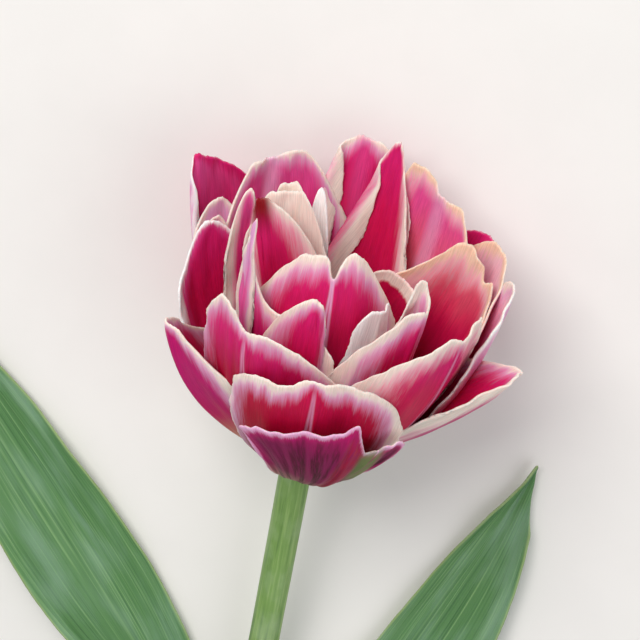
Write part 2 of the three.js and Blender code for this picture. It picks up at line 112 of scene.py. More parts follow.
# The lights' places from the flower, their sizes and the floor's are in metres
LIGHTS = dict(
    key=dict(place=(-0.55, 0.95, 1.1), size=0.9, power=19, colour=(1.0, 0.985, 0.96)),
    fill=dict(place=(0.9, -0.2, 1.0), size=1.2, power=5, colour=(0.96, 0.98, 1.0)),
)
SKY = dict(colour=(0.95, 0.97, 1.0, 1), strength=0.42)
FLOOR_HALF = 6.0

# Rows along and columns across or around
GRIDS = dict(
    petal=(60, 84), small=(46, 44), leaf=(150, 48), stem=(240, 56), receptacle=(40, 60), pistil=(70, 60),
    stamen=(70, 32),
)
CROWDING = 0.6  # how much closer a grid's lines lie at the rims and the midrib

# How petals are shaped, as in the CAD part. foot, rib: the midrib's points, as distance from the flower's
# axis and height. turn: its direction round the axis. sway: its end's lean sideways. half: widths to the
# left and right. body: shares of them from foot to top. top: the outline's height across the petal, at the
# places given or at TOP_PLACES. corner: what is cut off its corners. cup: how far the halves bend in, from
# foot to top, and side: how strongly each does. crease: the angle along the midrib. hem: widths of folded
# rims. roll: turn about the midrib. ragged, ruffle, flute: waves of rim and surface. keel: height, distance
# from the midrib and width of the two ridges outside.
TOP_PLACES = (-1, -0.6, 0, 0.6, 1)
FEET = dict(inner=(4.2, 1), back=(5, 0), middle=(5, 0), right=(5, 0), outer=(6, -2))
PLAIN_PETAL = dict(
    sway=0, half=(20, 20), body=(0.3, 0.72, 0.98, 0.95, 0.7),
    top=(0.74, 0.93, 1, 0.93, 0.74), corner=0.06,
    cup=(30, 40), side=(1, 1), crease=0, hem=(0, 0), roll=(0, 0), small=False,
    ragged=0.3, ruffle=0.5, ruffle_wave=19, flute=0.35, keel=(0.35, 1.2, 0.7),
)

PETALS = dict(
    inner_centre=dict(
        turn=-86, rib=[(10, 4), (20, 28), (12, 72)], half=(24, 21.5),
        top=[
            (-1, 0.72), (-0.75, 0.9), (-0.4, 1), (-0.1, 0.995), (0, 0.93), (0.08, 0.98), (0.3, 1.03),
            (0.65, 0.95), (1, 0.76),
        ],
        cup=(40, 60),
    ),
    inner_pointed=dict(
        foot=(3.6, 1.2), turn=-90, rib=[(4, 8), (4, 34), (-3, 76)], sway=-21, half=(5, 16.5),
        top=[(-1, 0.8), (0, 1), (0.3, 0.98), (0.7, 0.9), (1, 0.7)], cup=(20, 20),
    ),
    inner_rolled_rim=dict(
        turn=49, rib=[(9, 20), (16, 40), (15, 58)], sway=-12, half=(13, 10), body=(0.3, 0.8, 1, 1, 1),
        top=(0.9, 0.98, 1, 0.98, 0.9), small=True,
    ),
    inner_cream=dict(
        foot=(3.4, 1.2), turn=90, rib=[(2, 6), (6, 36), (10, 75)], sway=12, half=(9, 15),
        top=(0.8, 0.95, 1, 1, 0.9), cup=(20, 30), small=True,
    ),
    inner_cream_back=dict(
        foot=(3.4, 1.2), turn=90, rib=[(2, 6), (8, 36), (13, 75)], sway=14, half=(7, 7),
        top=(0.85, 0.98, 1, 0.98, 0.85), cup=(20, 30), small=True,
    ),
    inner_curled_tip=dict(
        foot=(3.4, 1.2), turn=90, rib=[(2, 6), (8, 36), (15, 74)], sway=6, half=(4, 4), cup=(20, 60),
        small=True,
    ),
    inner_front_left=dict(
        turn=-95, rib=[(10, 4), (22, 24), (22, 66)], half=(15.5, 4), top=(0.7, 0.92, 1, 0.98, 0.9),
        small=True,
    ),
    inner_narrow=dict(
        turn=-150, rib=[(12, 8), (28, 34), (23, 80)], half=(4.5, 4.5), body=(0.3, 0.7, 1, 0.9, 0.3),
        cup=(30, 60), small=True,
    ),
    inner_left_back=dict(
        turn=165, rib=[(10, 4), (26, 30), (24, 76)], half=(4, 6), roll=(-30, -60), small=True,
    ),
    inner_small=dict(
        turn=-40, rib=[(10, 6), (18, 28), (19, 60)], half=(9, 6), top=(0.96, 1, 1, 1, 0.95), small=True,
    ),
    inner_left_tongue=dict(
        turn=-118, rib=[(10, 4), (22, 26), (20, 75)], sway=-12, half=(6, 23),
        top=[(-1, 0.74), (-0.6, 0.92), (-0.2, 1), (0.05, 0.86), (0.15, 0.78), (0.5, 0.74), (1, 0.66)],
        cup=(20, 20),
    ),
    inner_front_right=dict(
        turn=-40, rib=[(14, 4), (28, 24), (32, 69)], half=(19, 11),
        top=[
            (-1, 0.66), (-0.6, 0.88), (-0.1, 0.99), (0.05, 0.98), (0.25, 1.03), (0.5, 1.08), (0.8, 1.08),
            (1, 1.03),
        ],
        cup=(35, 50), side=(1, 2.9), crease=20,
    ),
    back_left=dict(
        turn=125, rib=[(16, 4), (32, 26), (35, 71)], half=(23, 19),
        top=[(-1, 0.82), (-0.7, 0.99), (-0.4, 1.02), (0, 1), (0.5, 0.99), (1, 0.8)],
    ),
    back_tall=dict(
        turn=70, rib=[(14, 4), (28, 26), (35, 80)], half=(16, 24), body=(0.4, 0.95, 0.85, 0.6, 0.3),
        top=(0.7, 0.88, 1, 0.88, 0.72), hem=(0, 6.5),
    ),
    back_centre=dict(
        turn=85, rib=[(14, 4), (32, 26), (37, 77)], half=(18, 18), top=(0.88, 0.97, 1, 0.95, 0.84),
        hem=(0, 6.5),
    ),
    back_right=dict(
        turn=46, rib=[(14, 4), (34, 26), (36, 71)],
        top=[(-1, 0.7), (-0.5, 0.99), (0, 0.99), (0.3, 1.035), (0.7, 1.06), (1, 0.88)], side=(-0.2, 1),
    ),
    right_round=dict(
        turn=12, rib=[(14, 4), (36, 22), (40.5, 62)], half=(14, 25),
        top=[(-1, 0.75), (-0.5, 0.9), (-0.2, 0.97), (0, 0.95), (0.1, 1), (0.5, 1.06), (1, 0.85)],
        cup=(35, 50), side=(2.4, 1), roll=(30, 45),
    ),
    middle_left_fold=dict(
        turn=158, rib=[(16, 4), (34, 22), (34, 61)], half=(9, 7), roll=(-30, -40), small=True,
    ),
    middle_left_round=dict(
        turn=147, rib=[(16, 4), (36, 26), (38, 61)], half=(12, 12), roll=(-20, -30), small=True,
    ),
    middle_left=dict(
        turn=166, rib=[(15, 4), (28.5, 21), (33.5, 63)], half=(20, 14), body=(0.3, 0.6, 0.9, 1, 0.8),
        top=[(-1, 0.72), (-0.6, 0.85), (0, 1), (0.3, 0.97), (0.6, 0.86), (1, 0.8)], cup=(45, 55),
        roll=(-30, -50),
    ),
    middle_front_left=dict(
        turn=-124, rib=[(16, 4), (30, 22), (32.5, 58)], half=(14, 29), body=(0.3, 0.65, 0.9, 1, 0.95),
        top=[(-1, 1), (-0.6, 1.08), (-0.3, 1.06), (0, 0.98), (0.15, 1), (0.6, 0.9), (1, 0.68)],
        cup=(35, 45), side=(0.1, 1), crease=15,
    ),
    middle_front_right=dict(
        turn=-32, rib=[(17, 5), (35, 21.5), (41, 63)], half=(23.5, 17),
        top=[(-1, 0.7), (-0.6, 0.9), (-0.2, 1), (0, 0.99), (0.15, 0.98), (0.6, 1.03), (1, 0.86)],
        cup=(45, 70), side=(1.15, 0.2), crease=10,
    ),
    middle_front=dict(
        turn=-88, rib=[(18, 4), (34, 16), (36, 52)], half=(23.5, 25.5), body=(0.35, 0.7, 0.95, 1, 0.95),
        top=[
            (-1, 0.84), (-0.75, 0.9), (-0.4, 0.935), (0, 1.01), (0.3, 1), (0.65, 0.925), (0.85, 0.84),
            (1, 0.68),
        ],
        corner=0.04, cup=(40, 50), side=(0.9, 0.6), crease=8,
    ),
    middle_back_right=dict(
        turn=17, rib=[(16, 4), (38, 20), (45, 64.5)], half=(18, 18), top=(0.74, 0.93, 1, 0.98, 0.9),
    ),
    middle_right=dict(turn=-2, rib=[(18, 4), (40, 18), (46, 65)], half=(14, 20)),
    outer_front=dict(
        turn=-78.5, rib=[(22, 5), (34, 12), (42, 44)], sway=5, half=(38.5, 22.5),
        body=(0.15, 0.3, 0.52, 0.82, 1),
        top=[
            (-1, 0.7), (-0.6, 0.78), (-0.25, 0.9), (-0.07, 0.95), (0, 1.02), (0.08, 0.93), (0.3, 0.8),
            (0.7, 0.82), (1, 0.76),
        ],
        cup=(18, 25), crease=10,
    ),
    outer_left=dict(
        turn=-152, rib=[(16.5, 7.5), (37, 19.5), (41, 47)], sway=-4, half=(18, 19),
        body=(0.3, 0.93, 1, 0.85, 0.5), cup=(15, 20), side=(1, 0.8), crease=40,
    ),
    outer_right=dict(
        turn=-22, rib=[(20, 10.5), (40, 24.5), (54, 52)], sway=2, half=(10, 20),
        body=(0.3, 0.93, 1, 0.8, 0.4), cup=(20, 20), side=(0.8, 1), crease=40,
    ),
    outer_back_right=dict(
        turn=28, rib=[(20, 3.4), (38, 19), (46.5, 61.5)], half=(15, 20), top=(0.6, 0.9, 1, 0.97, 0.9),
        cup=(25, 35),
    ),
    outer_back_left=dict(
        turn=148, rib=[(20, 3.4), (38, 19), (46, 71)], half=(22, 10),
        top=[(-1, 0.84), (-0.6, 0.93), (-0.2, 0.98), (0, 1), (0.3, 0.97), (1, 0.7)], cup=(30, 30),
        hem=(0, 4.5),
    ),
    outer_back_low_left=dict(turn=110, rib=[(20, 2), (40, 14), (41, 58)], half=(20, 14)),
    outer_back_low_right=dict(turn=64, rib=[(20, 2.8), (40, 15), (41, 58)], half=(14, 20)),
)

PLAIN_LEAF = dict(
    top=[(-1, 0.9), (0, 1), (1, 0.9)], corner=0, crease=14, body=(0.57, 0.75, 1, 0.8, 0.1),
    cup=(125, 60, 25, 15, 10), hem=(0, 0), ragged=0.05, ruffle=1.4, ruffle_wave=60, flute=0.3,
    keel=(0.55, 0, 1.3),
)
LEAF_ROLL = (90, 42, 8, 0, 0)
# base: where on the stem a leaf starts. low, tip: its midrib's last two control points
LEAVES = dict(
    leaf_left=dict(base=0.49, flank=-1, low=(-62, -52, -4.6), tip=(-112, 18, 4), upper=21, lower=15),
    leaf_right=dict(base=0.645, flank=1, low=(48, -78, -4.6), tip=(66, -4, 4), upper=20, lower=14.5),
    leaf_low=dict(base=0.87, flank=-1, low=(-44, -178, -4.6), tip=(-58, -122, 4), upper=18, lower=13),
)

# Colours, as they look on a screen
PALETTE = dict(
    white="faf3f1", cream="f2dfd3", peach="f0cbb0", blush="efbcc6", lilac="e4abcf",
    lavender="d294c4", pink="de4f96", hot="d41f70", magenta="be1069", rose="c80d4c", crimson="ac0432",
    red="820210", maroon="390210", purple="870a50", coral="dd6076", green="6f8a4a", sage="c3c58d",
)

# How petals are coloured. outer, inner: each face's colour at the rim and just inside it, then the body's
# at the top, halfway and at the foot. margin, outer_margin: widths of the rim's colour at the left, right
# and top of each face. feather: how far the rim's colours reach in. apex: how far the body breaks through
# them at the midrib. rib: the pale double line outside. band: a broad stripe on the midrib. dark: maroon
# streaks. flame: a green patch. tip: a dark tip. foot: the colour mixed in low down, the petal's own tint
# there and, with red, painted shade deep in the cup.
# edge: the colour mixed in at the very rim; white there is a painted highlight where the rounded rim
# catches light.
RICH = "cream lilac hot rose crimson"
WARM = "cream blush hot rose crimson"
SOFT = "cream blush pink hot rose"
CREAMY = "cream cream peach blush pink"
PALE = "cream lilac lilac pink hot"
PLAIN_LOOK = dict(
    margin=(1.5, 1.5, 1.5), feather=9, apex=0.8, rib=0.8, band=None, dark=0, flame=0, tip=0,
    foot="red", edge="white", outer=RICH, inner=RICH,
)
LOOKS = dict(
    inner_centre=dict(margin=(1.4, 0.4, 1), rib=1.3),
    inner_pointed=dict(margin=(0, 2, 0), feather=8, rib=0, tip=1, outer=WARM),
    inner_rolled_rim=dict(
        margin=(3.2, 3.2, 3.4), feather=1.5, apex=0, rib=0, edge="hot", outer=CREAMY,
        inner="cream cream rose crimson red",
    ),
    inner_cream=dict(margin=(5, 6, 7), feather=16, rib=0, outer=CREAMY, inner=CREAMY),
    inner_cream_back=dict(margin=(5, 6, 7), feather=16, rib=0, outer=CREAMY, inner=CREAMY),
    inner_curled_tip=dict(
        margin=(3, 3, 6), rib=0, outer="white cream blush pink rose",
        inner="white cream blush rose crimson",
    ),
    inner_front_left=dict(margin=(1, -3, 0.6), feather=8, rib=0),
    inner_narrow=dict(margin=(0.2, 0.5, 0.3), feather=4, rib=0, outer="cream lilac lavender pink rose"),
    inner_left_back=dict(margin=(0.3, 1.2, 0.5), feather=5, rib=0, outer=SOFT, inner=SOFT),
    inner_small=dict(margin=(3.5, 5, 4), feather=12, rib=0, outer="white cream blush pink hot"),
    inner_left_tongue=dict(margin=(0.6, 1, 0.8), rib=0, outer="cream lilac lavender hot magenta"),
    inner_front_right=dict(margin=(2.2, 1, 1.2), feather=11, rib=0.5),
    back_left=dict(
        margin=(0.3, 0.3, 0.2), feather=6, band=("lilac", 0.6), inner="cream lilac pink hot rose",
    ),
    back_tall=dict(
        margin=(1.6, 0.4, 0), outer_margin=(1, 3.5, 0), feather=4, rib=0, inner=WARM, outer=SOFT,
    ),
    back_centre=dict(
        margin=(0.4, 0.8, 0.6), outer_margin=(1, 3, 1), feather=8, band=("pink", 0.5), rib=0,
        outer="cream blush lilac pink hot",
    ),
    back_right=dict(
        margin=(-3, 0.6, 0.3), feather=7, band=("lilac", 0.5), inner="peach blush pink coral rose",
    ),
    right_round=dict(
        margin=(0.4, 0.3, 1.2), outer_margin=(2.5, 1, 1.2), feather=13, rib=0,
        inner="peach blush coral rose red", outer="cream blush blush coral pink",
    ),
    middle_left_fold=dict(margin=(0.4, 0.4, 0.4), outer=PALE, inner=PALE),
    middle_left_round=dict(margin=(0.4, 0.4, 0.4), outer=PALE, inner=PALE),
    middle_left=dict(
        margin=(0, 1, 0.2), feather=6, rib=0, outer="white lilac hot crimson red",
        inner="white pink hot rose crimson",
    ),
    middle_front_left=dict(margin=(-3, 2, 0.2), feather=8, outer="cream lilac hot crimson red"),
    middle_front_right=dict(margin=(2.6, 0.3, 0.8), feather=11, outer=WARM),
    middle_front=dict(margin=(-1, 2, 1), feather=8, outer="cream lilac rose crimson red"),
    middle_back_right=dict(margin=(0.6, 0.6, 0.8), feather=10, inner="peach blush blush pink rose"),
    middle_right=dict(
        margin=(0.6, 0.6, 0.6), feather=10, outer="white lilac lilac pink magenta",
        inner="cream lilac blush pink hot",
    ),
    outer_front=dict(
        margin=(0.3, 0.2, 0.5), feather=4.5, apex=0.2, rib=0, dark=1, flame=1, foot="sage",
        outer="lilac magenta magenta purple purple",
    ),
    outer_left=dict(
        margin=(0, 2.4, 0.4), feather=6, rib=0.3, foot="sage", outer="cream lilac magenta magenta rose",
    ),
    outer_right=dict(
        margin=(3, 0.4, 0), feather=8, rib=0, foot="sage", outer="cream blush magenta magenta magenta",
    ),
    outer_back_right=dict(margin=(0, 0, 0), feather=6, foot="sage", inner="hot hot hot rose crimson"),
    outer_back_left=dict(
        margin=(0, 0, 0), outer_margin=(0, 3, 0), feather=6, foot="sage", inner="hot hot pink hot rose",
        outer="white lilac pink hot magenta",
    ),
    outer_back_low_left=dict(foot="sage"),
    outer_back_low_right=dict(foot="sage"),
)


def tint(colour):
    """A palette colour or a screen colour's code as Blender's linear RGBA."""
    code = PALETTE.get(colour, colour)
    channels = [int(code[i:i + 2], 16) / 255 for i in (0, 2, 4)]
    return [c / 12.92 if c <= 0.04045 else ((c + 0.055) / 1.055) ** 2.4 for c in channels] + [1.0]


def grow(x, start, full):
    """0 up to the start and 1 from full on, rising evenly between."""
    return np.clip((x - start) / (full - start), 0, 1)


def unit(vectors):
    return vectors / np.maximum(np.linalg.norm(vectors, axis=-1, keepdims=True), 1e-9)


def smooth_curve(points, x):
    """A smooth curve through a few points."""
    xs, ys = np.array(points, float).T
    x = np.clip(x, xs[0], xs[-1])
    slopes = np.diff(ys) / np.diff(xs)
    tangents = np.zeros_like(ys)
    tangents[1:-1] = np.where(slopes[1:] * slopes[:-1] <= 0, 0, (slopes[1:] + slopes[:-1]) / 2)
    tangents[[0, -1]] = slopes[[0, -1]]
    i = np.clip(np.searchsorted(xs, x, side="right") - 1, 0, len(xs) - 2)
    step = xs[i + 1] - xs[i]
    t = (x - xs[i]) / step
    return (
        (2 * t**3 - 3 * t**2 + 1) * ys[i] + (t**3 - 2 * t**2 + t) * step * tangents[i]
        + (3 * t**2 - 2 * t**3) * ys[i + 1] + (t**3 - t**2) * step * tangents[i + 1]
    )


def even_curve(values, x):
    """A smooth curve through values spaced evenly from 0 to 1."""
    return smooth_curve(list(zip(np.linspace(0, 1, len(values)), values)), x)


def wobble(seed, x, wavelength):
    """A smooth irregular wave between about -1 and 1, the same each run."""
    draw = np.random.default_rng(seed)
    total = np.zeros_like(x, dtype=float)
    for octave in range(WAVE_OCTAVES):
        phase = draw.uniform(0, 2 * math.pi)
        pace = draw.uniform(0.85, 1.15) * 2**octave
        total += np.sin(2 * math.pi * x * pace / wavelength + phase) / 1.7**octave
    return total / 1.8


def rim_wobble(seed, x, fine_x, waves):
    """A coarse wave with a fine one on it."""
    coarse, fine, strength = waves
    return wobble(seed, x, coarse) + strength * wobble(seed + 1, fine_x, fine)


def rib_curve(points, s):
    """Places and headings along a cubic curve at shares s of its length; past 1 it runs straight on."""
    a, b, c, d = np.array(points, float)
    t = np.linspace(0, 1, RIB_STEPS)[:, None]
    path = (1 - t)**3 * a + 3 * (1 - t)**2 * t * b + 3 * (1 - t) * t**2 * c + t**3 * d
    speed = 3 * (1 - t)**2 * (b - a) + 6 * (1 - t) * t * (c - b) + 3 * t**2 * (d - c)
    lengths = np.concatenate([[0], np.cumsum(np.linalg.norm(np.diff(path, axis=0), axis=1))])
    whole = lengths[-1]
    on_rib = np.clip(s, 0, 1)
    place, heading = (
        np.stack([np.interp(on_rib * whole, lengths, values[:, k]) for k in range(3)], -1)
        for values in (path, unit(speed))
    )
    heading = unit(heading)
    return place + heading * ((s - on_rib) * whole)[..., None], heading, whole


def crowded_along(count):
    """Shares from 0 to 1 that lie closer together near 1."""
    w = np.linspace(0, 1, count + 1)
    return w + CROWDING * np.sin(math.pi * w) / math.pi


def crowded_across(count):
    """Shares from -1 to 1 that lie closer together near 0 and both ends."""
    w = np.linspace(-1, 1, count + 1)
    return w - CROWDING * np.sin(2 * math.pi * w) / (2 * math.pi)


def blade_frame(blade, s):
    """Midrib places, the directions across the blade and towards its inner side, and its length."""
    centre, heading, whole = rib_curve(blade["rib_points"], s)
    sideways = unit(blade["sideways"] - (heading @ blade["sideways"])[..., None] * heading)
    inward = np.cross(heading, sideways)
    roll = np.radians(even_curve(blade["roll"], s))[..., None]
    return (
        centre,
        sideways * np.cos(roll) + inward * np.sin(roll),
        inward * np.cos(roll) - sideways * np.sin(roll),
        whole,
    )


def bent_half(blade, s, reach, width, left):
    """How far out and how far inward the blade lies, from its crease, its cup and its folded rims."""
    distance = reach * width
    side = np.where(left, *blade["side"])
    crease = np.radians(blade["crease"]) * grow(s, 0, CREASE_GROWN) * side
    cup = np.radians(even_curve(blade["cup"], s)) * side
    hem = np.minimum(np.where(left, *blade["hem"]), HEM_LIMIT * width)
    folded = np.where(hem > HEM_LEAST, math.radians(HEM_TURN), 0)
    out = np.zeros_like(distance)
    up = np.zeros_like(distance)
    for step in range(BEND_STEPS):
        f = (step + 0.5) / BEND_STEPS
        turn = np.clip((f * distance - width + hem) / HEM_BEND + 0.5, 0, 1)
        angle = crease * (1 - np.exp(-f * distance / CREASE_WIDTH)) + cup * f * reach
        angle += folded * turn**2 * (3 - 2 * turn)
        out += np.cos(angle) * distance / BEND_STEPS
        up += np.sin(angle) * distance / BEND_STEPS
    return out, up


def blade_surface(blade, along, across, seed):
    """The middle of a petal's or leaf's thickness, with what its colours follow at each point."""
    u, v = np.meshgrid(along, across, indexing="ij")
    reach = np.abs(v)
    left = v < 0
    flat = v * max(blade["half"])
    ragged = blade["ragged"]
    top_wave = rim_wobble(seed, flat, flat, TOP_WAVES)
    whole = rib_curve(blade["rib_points"], np.zeros(1))[2]
    top = smooth_curve(blade["top"], v) - blade["corner"] * reach**CORNER_POWER
    top = top + ragged * top_wave / whole
    s = u * top
    centre, sideways, inward, whole = blade_frame(blade, s)
    lengthwise = s * whole
    side_wave = rim_wobble(seed + 2, *(lengthwise + shift * left for shift in LEFT_SHIFTS), SIDE_WAVES)
    body = even_curve(blade["body"], s)
    width = np.where(left, *blade["half"]) * body
    width = width + ragged * side_wave * reach**SIDE_POWER * grow(s, 0.1, 0.35)
    out, up = bent_half(blade, s, reach, width, left)
    to_top = (1 - u) * top * whole
    to_side = (1 - reach) * width
    rim = (np.maximum(to_side, 1e-3)**-4 + np.maximum(to_top, 1e-3)**-4)**-0.25
    ruffle = wobble(seed + 5, flat * 1.2 + lengthwise * 0.8, blade["ruffle_wave"])
    ruffle *= blade["ruffle"] * np.exp(-rim / RUFFLE_REACH)
    flute = blade["flute"] * wobble(seed + 4, flat * 0.9, FLUTE_WAVE)
    up += grow(s, 0, 0.5) * (flute + ruffle)
    signed = np.sign(v) * reach * width
    return dict(
        place=centre + (np.sign(v) * out)[..., None] * sideways + up[..., None] * inward,
        rim=rim, across=signed, along=lengthwise, share=s, to_top=to_top,
        to_left=signed + blade["half"][0] * body, to_right=blade["half"][1] * body - signed,
        fibre=flat * (1.25 - 0.45 * np.clip(s, 0, 1)),
    )


def thickened(surface, blade, thickness, foot_thickness):
    """Inner and outer grids on either side of the middle surface."""
    place, share, rim = surface["place"], surface["share"], surface["rim"]
    normal = unit(np.cross(np.gradient(place, axis=0), np.gradient(place, axis=1)))
    edge = grow(rim, 0, RIM_TAPER)
    body = thickness + (foot_thickness - thickness) * (1 - grow(share, 0, THICK_FOOT))**2
    half = body / 2 * np.sqrt(1 - (1 - edge)**2)
    half[0, :] = 0
    height, offset, width = blade["keel"]
    keel = height * np.exp(-((np.abs(surface["across"]) - offset) / width)**2)
    keel *= grow(share, 0, KEEL_GROWN) * grow(rim, 0, KEEL_MARGIN)
    return place + normal * half[..., None], place - normal * (half + keel * edge)[..., None]


def mesh_of(name, points, faces, facts, outside=None):
    """A smooth mesh in metres, with facts stored on its points and the side of each face."""
    mesh = bpy.data.meshes.new(name)
    mesh.from_pydata(points.tolist(), [], faces)
    mesh.polygons.foreach_set("use_smooth", np.ones(len(mesh.polygons), bool))
    for key, values in facts.items():
        layer = mesh.attributes.new(key, "FLOAT", "POINT")
        layer.data.foreach_set("value", values.astype(np.float32))
    if outside is not None:
        layer = mesh.attributes.new("outside", "FLOAT", "FACE")
        layer.data.foreach_set("value", outside.astype(np.float32))
    mesh.update()
    return mesh


def quads(grid):
    """The four-sided faces of a grid of point numbers."""
    corners = [grid[:-1, :-1], grid[:-1, 1:], grid[1:, 1:], grid[1:, :-1]]
    return np.stack([c.ravel() for c in corners], 1)


def shell_mesh(name, inner, outer, facts, under):
    """A closed mesh from two grids that share a rim; under holds facts that differ on the outer one."""
    rows, columns = inner.shape[:2]
    index = np.arange(rows * columns).reshape(rows, columns)
    back = index.copy()
    hidden = np.zeros((rows, columns), bool)
    hidden[1:-1, 1:-1] = True
    back[hidden] = rows * columns + np.arange(hidden.sum())
    faces = np.concatenate([quads(index)[:, ::-1], quads(back)])
    outside = np.repeat([0, 1], len(faces) // 2)
    points = np.concatenate([inner.reshape(-1, 3), outer[hidden]])
    whole = {
        key: np.concatenate([values.ravel(), under.get(key, values)[hidden]])
        for key, values in facts.items()
    }
    return mesh_of(name, points, faces.tolist(), whole, outside)


def ring_mesh(name, rings, facts):
    """A closed tube through rings of points, its ends closed by fans; facts hold a value per ring point."""
    count, around = rings.shape[:2]
    index = np.arange(count * around).reshape(count, around)
    closed = np.hstack([index, index[:, :1]])
    hub = count * around
    faces = quads(closed).tolist()
    faces += [[b, a, hub] for a, b in zip(closed[0].tolist(), closed[0, 1:].tolist())]
    faces += [[a, b, hub + 1] for a, b in zip(closed[-1].tolist(), closed[-1, 1:].tolist())]
    points = np.concatenate([rings.reshape(-1, 3), rings[0].mean(0)[None], rings[-1].mean(0)[None]])
    whole = {
        key: np.concatenate([values.ravel(), [values[0].mean(), values[-1].mean()]])
        for key, values in facts.items()
    }
    return mesh_of(name, points, faces, whole)


def put_in_scene(name, data):
    thing = bpy.data.objects.new(name, data)
    bpy.context.scene.collection.objects.link(thing)
    return thing


def add_piece(node, mesh, material):
    """Puts a piece in the scene in place of its CAD node."""
    piece = put_in_scene("shaped_" + node, mesh)
    piece.data.materials.append(material)
    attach(piece, "root")
    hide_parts(node)


# Material nodes
class Nodes:
    """Short calls that build one material's nodes. A colour is a palette name, a code or a socket."""

    def __init__(self, name):
        self.material = bpy.data.materials.new(name)
        self.material.use_nodes = True
        self.tree = self.material.node_tree
        self.shader = self.tree.nodes["Principled BSDF"]

    def put(self, socket, value):
        if isinstance(value, bpy.types.NodeSocket):
            self.tree.links.new(value, socket)
        else:
            socket.default_value = tint(value) if isinstance(value, str) else value

    def new(self, kind, *values):
        """A node with its first inputs filled."""
        node = self.tree.nodes.new("ShaderNode" + kind)
        for socket, value in zip(node.inputs, values):
            self.put(socket, value)
        return node

    def fill(self, node, values):
        for name, value in values.items():
            self.put(node.inputs[name], value)

    def facts(self, names):
        """Outputs with what the mesh stores at each point."""
        outputs = []
        for name in names.split():
            node = self.new("Attribute")
            node.attribute_name = name
            outputs.append(node.outputs["Fac"])
        return outputs

    def math(self, operation, *values, clamp=False):
        node = self.new("Math", *values)
        node.operation = operation
        node.use_clamp = clamp
        return node.outputs[0]

    def times(self, *values):
        product = values[0]
        for value in values[1:]:
            product = self.math("MULTIPLY", product, value)
        return product

    def vector(self, x, y, z):
        return self.new("CombineXYZ", x, y, z).outputs[0]

    def noise(self, place, scale, detail=3.0, roughness=0.5):
        node = self.new("TexNoise")
        self.fill(node, dict(Vector=place, Scale=scale, Detail=detail, Roughness=roughness))
        return node.outputs["Fac"]

    def fibres(self, fibre, along, stretch, seed, scale, detail=3.0, roughness=0.6):
        """Noise drawn out along the blade."""
        return self.noise(self.vector(fibre, self.times(along, stretch), seed), scale, detail, roughness)

    def spread(self, value, low, high, to_low=0.0, to_high=1.0):
        node = self.new("MapRange", value, low, high, to_low, to_high)
        node.interpolation_type = "SMOOTHSTEP"
        return node.outputs[0]

    def mix(self, share, first, second, blend="MIX"):
        node = self.new("Mix")
        node.data_type = "RGBA"
        node.blend_type = blend
        colours = [socket for socket in node.inputs if socket.type == "RGBA"]
        self.put(node.inputs["Factor"], share)
        self.put(colours[0], first)
        self.put(colours[1], second)
        return next(socket for socket in node.outputs if socket.type == "RGBA")

    def shade(self, colour, value):
        """A colour made darker or lighter by a value."""
        return self.mix(1.0, colour, self.vector(value, value, value), "MULTIPLY")

    def ramp(self, value, *stops):
        node = self.new("ValToRGB", value)
        node.color_ramp.interpolation = "EASE"
        elements = node.color_ramp.elements
        while len(elements) < len(stops):
            elements.new(0.5)
        for element, (place, colour) in zip(elements, stops):
            element.position = place
            element.color = tint(colour)
        return node.outputs["Color"]

    def bump(self, height, strength, distance):
        node = self.new("Bump")
        self.fill(node, dict(Strength=strength, Distance=distance, Height=height))
        self.put(self.shader.inputs["Normal"], node.outputs["Normal"])

    def finish(self, colour, roughness, subsurface, radius, specular=0.3):
        """Sets the shader: its colour, its gloss and how far light spreads inside it."""
        self.fill(self.shader, {
            "Base Color": colour, "Roughness": roughness, "Specular IOR Level": specular,
            "Subsurface Weight": subsurface, "Subsurface Radius": radius, "Subsurface Scale": 1.0,
        })
        return self.material


def face_colour(nodes, tone, share, names):
    """A face's colours, from its rim inwards and from its top down."""
    rim, border, top, middle, foot = names.split()
    body = nodes.ramp(share, (0.3, foot), (0.68, middle), (1.0, top))
    edge = nodes.ramp(tone, (0.0, rim), (0.45, border))
    return nodes.mix(nodes.spread(tone, 0.1, 1.0), edge, body)


def centred(nodes, noise, amount):
    """Noise as a swing about zero."""
    return nodes.times(nodes.math("SUBTRACT", noise, 0.5), amount)


def beside(nodes, across, middle, width):
    """1 along a line beside the midrib, falling to 0 at a width from it."""
    offset = nodes.math("ABSOLUTE", nodes.math("SUBTRACT", across, middle))
    return nodes.spread(offset, width, width * 0.3)


# Marks of single petals: at holds the mesh's facts and two noises, strength the look's value
def mark_band(nodes, colour, at, strength):
    wavering = nodes.math("ADD", at.across, centred(nodes, at.fine, 3.0))
    stripe = nodes.spread(nodes.math("ABSOLUTE", wavering), 4.0, 0.5)
    reach = nodes.times(stripe, nodes.spread(at.share, 0.25, 0.7), strength[1])
    return nodes.mix(reach, colour, strength[0])


def mark_dark(nodes, colour, at, strength):
    inside = nodes.spread(at.tone, 0.1, 0.8)
    low = nodes.spread(at.share, 0.98, 0.6, 0.35, 1.0)
    middle = nodes.spread(at.across, -24.0, -6.0, 0.15, 1.0)
    lines = nodes.times(nodes.spread(at.broad, 0.42, 0.58), nodes.spread(at.fine, 0.35, 0.55))
    return nodes.mix(nodes.times(lines, inside, low, middle, 0.9 * strength), colour, "maroon")


def mark_flame(nodes, colour, at, strength):
    red = nodes.times(beside(nodes, at.across, 1.5, 3.5), nodes.spread(at.fine, 0.35, 0.6))
    red = nodes.times(red, nodes.spread(at.share, 0.99, 0.85), 0.85 * strength)
    colour = nodes.mix(red, colour, "crimson")
    high = nodes.times(nodes.spread(at.share, 0.4, 0.55), nodes.spread(at.share, 0.92, 0.74))
    patch = nodes.times(beside(nodes, at.across, 7.0, 4.5), nodes.spread(at.broad, 0.25, 0.42))
    return nodes.mix(nodes.times(patch, high, 0.78 * strength), colour, "green")


